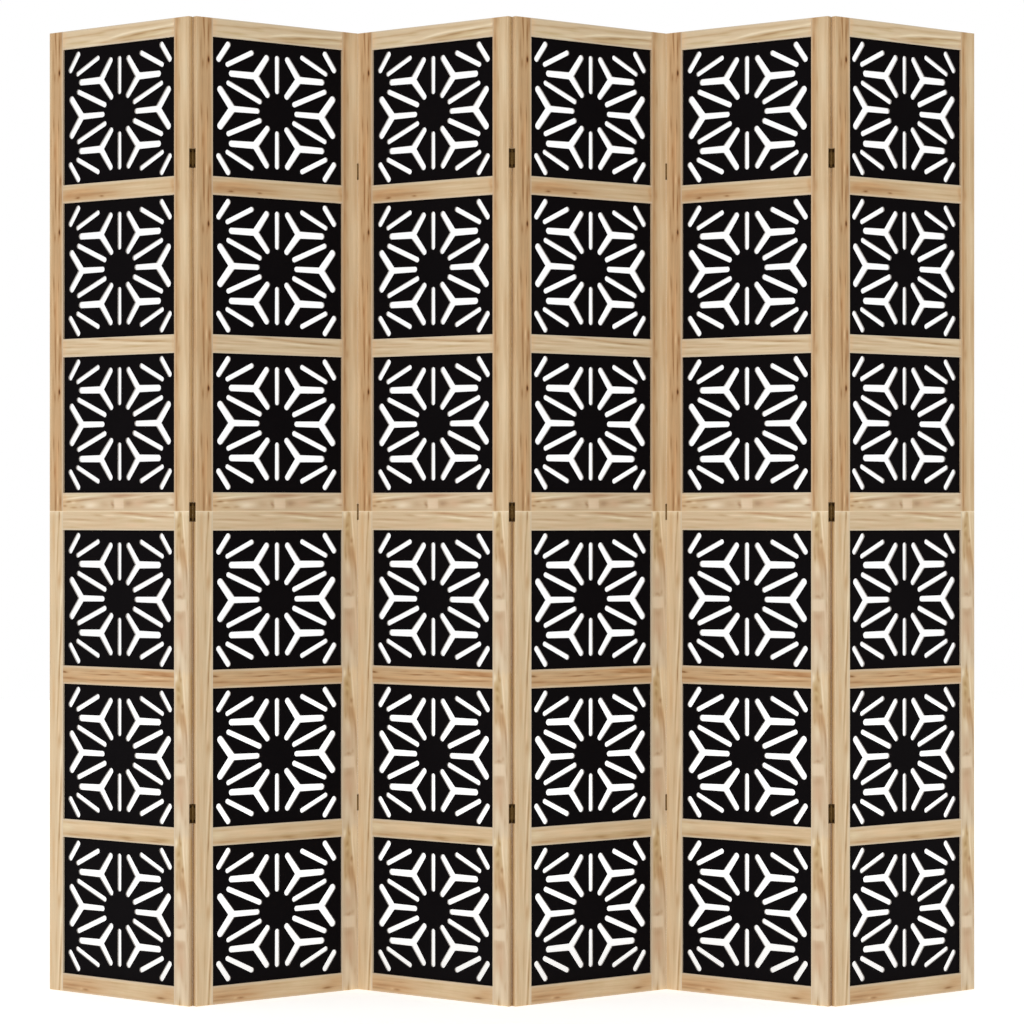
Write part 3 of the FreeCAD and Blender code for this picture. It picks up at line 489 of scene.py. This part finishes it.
def board_edge():
    """Sawn walls of the slots: pale fibre core, darker where the lacquer has run over the rim."""
    t = Tree("fretwork_cut_edge")
    across, back, up, panel = t.panel_coords()
    fibre = t.noise(t.vec(across * 1.3, up * 1.3, back * 3.2), 3.0, 0.6)
    layer = t.noise(t.vec(across * 0.05, up * 0.05, back * 2.6), 2.0, 0.5)
    rim = t.smooth(t.madd(fibre, 0.5, t.op("ABSOLUTE", back - THICK / 2)), 1.55, 1.95)
    tone = t.madd(fibre, 0.30, t.madd(layer, 0.40, 0.62))
    tone = t.madd(rim, -0.35, tone)
    colour = t.ramp(tone, [(0.0, (84, 78, 76)), (0.35, (178, 172, 168)), (0.7, (212, 207, 203)), (1.0, (230, 226, 222))])
    # The lacquer was sprayed on the front, so it reaches about a millimetre into each slot from there.
    deep = back - (THICK - BOARD_T) / 2
    colour = t.mix(t.smooth(t.madd(fibre, 0.5, deep), 0.9, 1.9, 1.0, 0.0), colour, linear(20, 15, 17))
    t.put(t.shader.inputs["Base Color"], colour)
    t.put(t.shader.inputs["Roughness"], t.madd(fibre, 0.2, 0.72))
    t.put(t.shader.inputs["Normal"], t.bump(fibre, 0.0002, 0.6))
    t.shader.inputs["Specular IOR Level"].default_value = 0.25
    return t.mat


def bronze(name, dark, mid, bright, wear, seed, ends):
    """Antiqued hinge metal: brown-black patina, rubbed warmer in patches."""
    t = Tree(name)
    x, y, z = t.xyz(t.coords)
    x, y, z = x * 1000.0, y * 1000.0, z * 1000.0
    cloud = t.noise(t.vec(x * 0.35 + seed, y * 0.35, z * 0.35), 3.0, 0.6)
    brush = t.noise(t.vec(x * 3.0, y * 3.0 + seed, z * 0.35), 2.0, 0.5)
    pit = t.smooth(t.cells(t.vec(x * 1.6, y * 1.6, z * 1.6 + seed)), 0.08, 0.22, 1.0, 0.0)
    tone = t.madd(cloud, 0.9, t.madd(brush, 0.5, wear))
    tone = t.madd(pit, -0.18, tone)
    for middle in HINGE_Z:                      # browner towards the top and bottom of each hinge: painted shade at the ends of the leaves
        reach = t.op("ABSOLUTE", z - middle)
        tone = t.madd(t.smooth(reach, 9.0, 15.5) * t.smooth(reach, 20.0, 21.0, 1.0, 0.0), -ends, tone)
    t.put(t.shader.inputs["Base Color"], t.ramp(tone, [(0.0, dark), (0.5, mid), (1.0, bright)]))
    t.put(t.shader.inputs["Roughness"], t.madd(cloud, -0.22, t.madd(brush, 0.16, 0.46)))
    t.put(t.shader.inputs["Normal"], t.bump(t.madd(brush, 0.5, t.madd(pit, -0.7, cloud * 0.3)), 0.00012, 0.5))
    t.shader.inputs["Metallic"].default_value = 0.6
    return t.mat


TIMBERS = {name: timber(name, i + 1) for i, name in enumerate(sorted(STICKS))}
END_GRAIN = end_grain()
DOWEL = dowel_wood()
BLACK = black_board()
BOARD_EDGE = board_edge()
HINGE = bronze("hinge_patina", (64, 40, 12), (112, 84, 38), (150, 120, 74), 0.52, 1.7, 0.34)
SCREW = bronze("screw_patina", (38, 24, 8), (58, 38, 14), (100, 74, 42), 0.42, 5.3, 0.0)
PIN = bronze("pin_patina", (78, 57, 27), (128, 98, 54), (174, 140, 90), 0.50, 9.1, 0.0)


def local(panel, p):
    """A point of the row frame, in m, as mm across and back in that panel (0 to 5)."""
    turn = 1.0 if panel % 2 else -1.0
    dx = p.x * 1000.0 - (panel - PANELS / 2) * PITCH_X
    dy = p.y * 1000.0 + turn * PITCH_Y / 2
    return (dx * C + turn * dy * S - GAP / 2, -turn * dx * S + dy * C + THICK / 2 + turn * (THICK / 2 + PIN_OUT))


def dress(node, materials, choose=None):
    """These materials on a CAD node, by face where choose says which."""
    mesh = NODES[node].data
    mesh.materials.clear()
    for m in materials:
        mesh.materials.append(m)
    if choose is not None:
        mesh.polygons.foreach_set("material_index", [choose(p) for p in mesh.polygons])


for n in range(1, PANELS + 1):
    for half, first in (("upper", 1), ("lower", 5)):
        def stile_face(p, panel=n - 1):
            if abs(p.normal.z) > 0.9 and p.area > 2e-5:
                return 2
            return 0 if local(panel, p.center)[0] < PANEL_W / 2 else 1

        def rail_face(p, first=first):
            z = p.center.z * 1000.0
            return min(range(4), key=lambda r: abs(z - sum(RAIL_Z[f"rail_{first + r}"]) / 2))

        dress(f"panel{n}_{half}_stiles", [TIMBERS["stile_left_" + half], TIMBERS["stile_right_" + half], END_GRAIN], stile_face)
        dress(f"panel{n}_{half}_rails", [TIMBERS[f"rail_{k}"] for k in range(first, first + 4)], rail_face)
        def board_face(p, turn=1.0 if n % 2 == 0 else -1.0):
            return 0 if abs(-turn * p.normal.x * S + p.normal.y * C) > 0.7 else 1

        dress(f"panel{n}_{half}_fretwork", [BLACK, BOARD_EDGE], board_face)
    dress(f"panel{n}_seam_dowels", [DOWEL])
    dress(f"panel{n}_hinge_leaves", [HINGE])
    dress(f"panel{n}_hinge_screws", [SCREW])
    if n < PANELS:
        dress(f"fold_{n}_{n + 1}_hinge_pins", [PIN])

# ------------------------------------------------------------------------ stage
def stage_plane(name, corners, colour):
    mesh = bpy.data.meshes.new(name)
    mesh.from_pydata(corners, [], [(0, 1, 2, 3)])
    obj = bpy.data.objects.new(name, mesh)
    bpy.context.scene.collection.objects.link(obj)
    t = Tree(name + "_paint")
    x, y, z = t.xyz(t.coords)
    soft = t.noise(t.vec(x * 1.5, y * 1.5, z * 1.5), 3.0, 0.5)
    t.put(t.shader.inputs["Base Color"], t.mix(t.madd(soft, 0.5, 0.5), linear(*colour), linear(*[min(255, c + 4) for c in colour])))
    t.shader.inputs["Roughness"].default_value = 0.9
    t.shader.inputs["Specular IOR Level"].default_value = 0.1
    t.shader.inputs["Emission Color"].default_value = (1.0, 1.0, 1.0, 1.0)
    t.shader.inputs["Emission Strength"].default_value = 0.49      # lit from below, like a light table
    mesh.materials.append(t.mat)
    return obj


stage_plane("studio_floor", [(-9, -9, 0), (9, -9, 0), (9, 9, 0), (-9, 9, 0)], (250, 250, 250))

scene = bpy.context.scene
world = bpy.data.worlds.new("studio")
scene.world = world
world.use_nodes = True
sky = world.node_tree.nodes["Background"]
# A white studio whose far left and right ends are dimmer than its front, back and top, the right side a little warmer.
wn = world.node_tree
direction = wn.nodes.new("ShaderNodeSeparateXYZ")
wn.links.new(wn.nodes.new("ShaderNodeTexCoord").outputs["Generated"], direction.inputs[0])
side = wn.nodes.new("ShaderNodeMath")
side.operation = "ABSOLUTE"
wn.links.new(direction.outputs[0], side.inputs[0])
dim = wn.nodes.new("ShaderNodeMapRange")
dim.interpolation_type = "SMOOTHSTEP"
for key_name, v in (("From Min", 0.56), ("From Max", 0.92), ("To Min", 0.70), ("To Max", 0.06)):
    dim.inputs[key_name].default_value = v
wn.links.new(side.outputs[0], dim.inputs["Value"])
seen = wn.nodes.new("ShaderNodeLightPath")
right = wn.nodes.new("ShaderNodeMapRange")
for key_name, v in (("From Min", -0.2), ("From Max", 0.6), ("To Min", 0.0), ("To Max", 1.0)):
    right.inputs[key_name].default_value = v
wn.links.new(direction.outputs[0], right.inputs["Value"])
tint = wn.nodes.new("ShaderNodeMix")
tint.data_type = "RGBA"
tint.inputs[6].default_value = (1.0, 1.0, 1.0, 1.0)
tint.inputs[7].default_value = (1.0, 0.98, 0.90, 1.0)
wn.links.new(right.outputs["Result"], tint.inputs[0])
plain = wn.nodes.new("ShaderNodeMix")
plain.data_type = "RGBA"
plain.inputs[7].default_value = (1.0, 1.0, 1.0, 1.0)
wn.links.new(seen.outputs["Is Camera Ray"], plain.inputs[0])
wn.links.new(tint.outputs[2], plain.inputs[6])
wn.links.new(plain.outputs[2], sky.inputs["Color"])
level = wn.nodes.new("ShaderNodeMath")
level.operation = "MAXIMUM"
wn.links.new(dim.outputs["Result"], level.inputs[0])
wn.links.new(seen.outputs["Is Camera Ray"], level.inputs[1])
wn.links.new(level.outputs[0], sky.inputs["Strength"])


def softbox(name, energy, spread, turn):
    """A wide soft light far away: its angular width and where it shines from, in degrees."""
    lamp = bpy.data.lights.new(name, "SUN")
    lamp.energy = energy
    lamp.angle = math.radians(spread)
    place = bpy.data.objects.new(name, lamp)
    scene.collection.objects.link(place)
    place.rotation_euler = tuple(math.radians(a) for a in turn)


softbox("key_left", 0.50, 60.0, (62.0, 0.0, -43.0))
softbox("fill_front", 0.40, 60.0, (72.0, 0.0, 0.0))

scene.view_settings.view_transform = "Standard"
scene.view_settings.look = "None"

# ----------------------------------------------------------------------- camera
camera = bpy.data.cameras.new("photo_view")
camera.sensor_fit = "HORIZONTAL"
camera.sensor_width = 36.0
camera.lens = 108.415
camera.shift_x = 0.0
camera.shift_y = -0.0006
camera.clip_start = 0.05
camera.clip_end = 100.0
eye = bpy.data.objects.new("photo_view", camera)
scene.collection.objects.link(eye)
eye.location = (0.0, -5.7094, 0.900)
eye.rotation_euler = (math.pi / 2, 0.0, 0.0)
scene.camera = eye
